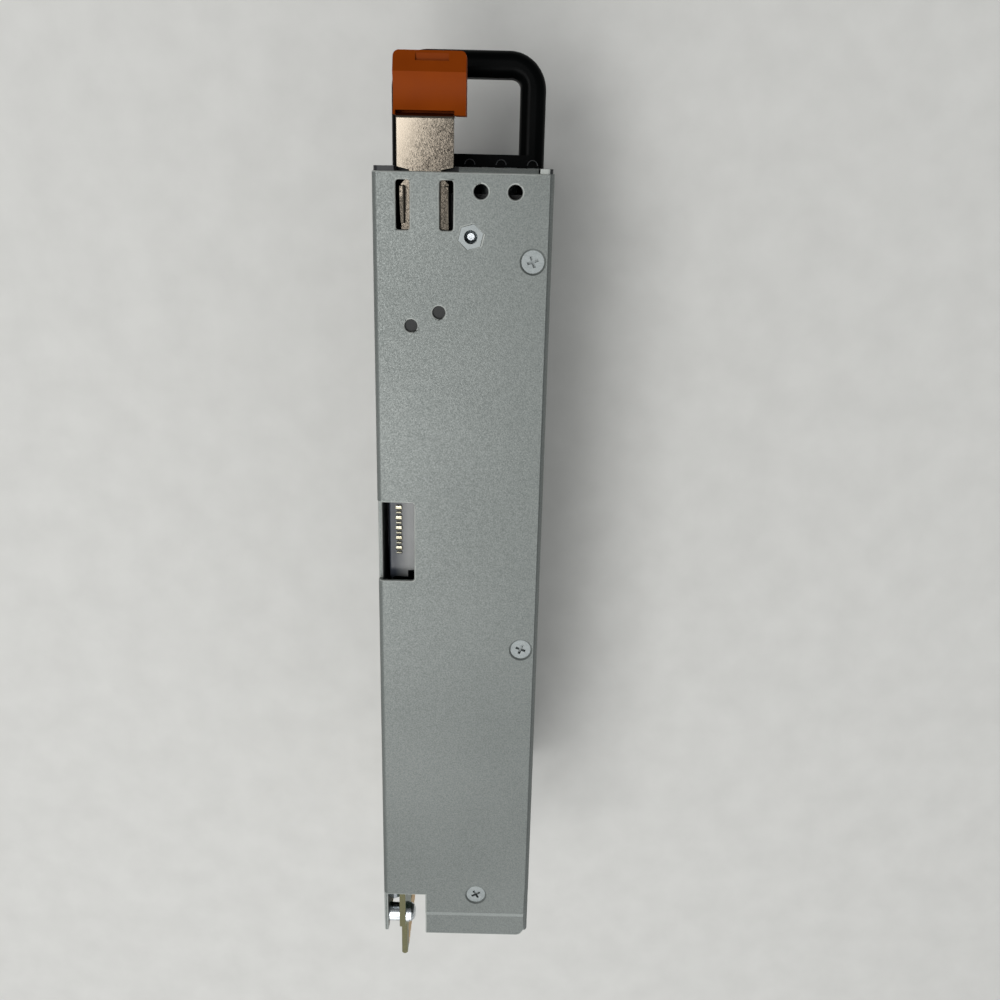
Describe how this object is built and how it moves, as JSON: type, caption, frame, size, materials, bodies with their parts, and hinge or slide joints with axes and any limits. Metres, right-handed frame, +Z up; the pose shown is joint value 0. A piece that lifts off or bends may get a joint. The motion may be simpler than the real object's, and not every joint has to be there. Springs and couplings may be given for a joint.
{
  "type": "hot swap server power supply",
  "caption": "Thin folded-steel hot swap power supply with a black pull handle, an orange press latch, a mains inlet and fan at one end and a gold-finger card edge at the other.",
  "frame": {"origin": "middle of the lower narrow wall, on the surface that it stands on", "axes": "X across the thin case, Y along it towards the handle and latch end, Z up to the narrow wall with the latch"},
  "size_m": [0.0384, 0.236, 0.0874],
  "materials": {
    "case_steel": "zinc-coated sheet, fine speckle, semi-matt",
    "painted_steel": "black powder coat, satin",
    "spring_steel": "polished strip",
    "bright_zinc": "bright zinc plate",
    "black_plastic": "moulded, satin",
    "orange_plastic": "moulded, satin",
    "board_laminate": "solder resist over glass laminate",
    "gold_plate": "gold flash",
    "pin_brass": "nickel-plated brass",
    "clear_plastic": "clear",
    "smoked_film": "translucent film",
    "capacitor_sleeve": "shrunk sleeve",
    "heatsink_aluminium": "extruded",
    "ferrite": "sintered",
    "copper_winding": "enamelled copper",
    "yellow_plastic": "moulded",
    "relay_plastic": "moulded",
    "fuse_ceramic": "glazed tube",
    "lead_insulation": "soft insulation"
  },
  "bodies": {
    "case": {"ac_inlet": "black_plastic", "board_screws": "bright_zinc", "board_standoffs": "bright_zinc", "boost_choke": "ferrite", "bridge_rectifier": "black_plastic", "bulk_capacitor": "capacitor_sleeve", "case_screws": "bright_zinc", "chassis_tray": "case_steel", "clinch_standoff": "bright_zinc", "connector_panel": "case_steel", "control_board": "board_laminate", "earth_spacer": "bright_zinc", "end_panel": "painted_steel", "fan_frame": "black_plastic", "fan_screws": "bright_zinc", "gold_fingers": "gold_plate", "handle": "black_plastic", "handle_screws": "bright_zinc", "header_contacts": "pin_brass", "heatsinks": "heatsink_aluminium", "indicator_board": "board_laminate", "indicator_lamps": "clear_plastic", "indicator_screw": "bright_zinc", "inlet_leads": "lead_insulation", "inlet_pins": "pin_brass", "inrush_relay": "relay_plastic", "insulation_sheet": "smoked_film", "latch_rivets": "bright_zinc", "light_pipes": "clear_plastic", "line_choke": "ferrite", "main_board": "board_laminate", "mains_fuse": "fuse_ceramic", "output_capacitors": "capacitor_sleeve", "output_choke": "ferrite", "power_transistors": "black_plastic", "service_header": "black_plastic", "side_cover": "case_steel", "transformer_core": "ferrite", "transformer_winding": "copper_winding", "window_film": "smoked_film", "x_capacitor": "yellow_plastic"},
    "latch": {"latch_blade": "spring_steel", "latch_tab": "orange_plastic"},
    "rotor": {"fan_rotor": "black_plastic"}
  },
  "joints": [
    {"name": "latch_press", "type": "hinge", "parent": "case", "child": "latch", "pos_m": [-0.00805, 0.0668, 0.0837], "axis": [-1, 0, 0], "range_deg": [0, 5], "stiffness_Nm_per_rad": 0.8, "springref_deg": -1.72},
    {"name": "fan_spin", "type": "hinge", "parent": "case", "child": "rotor", "pos_m": [0, 0.084, 0.049], "axis": [0, 1, 0], "continuous": true}
  ]
}
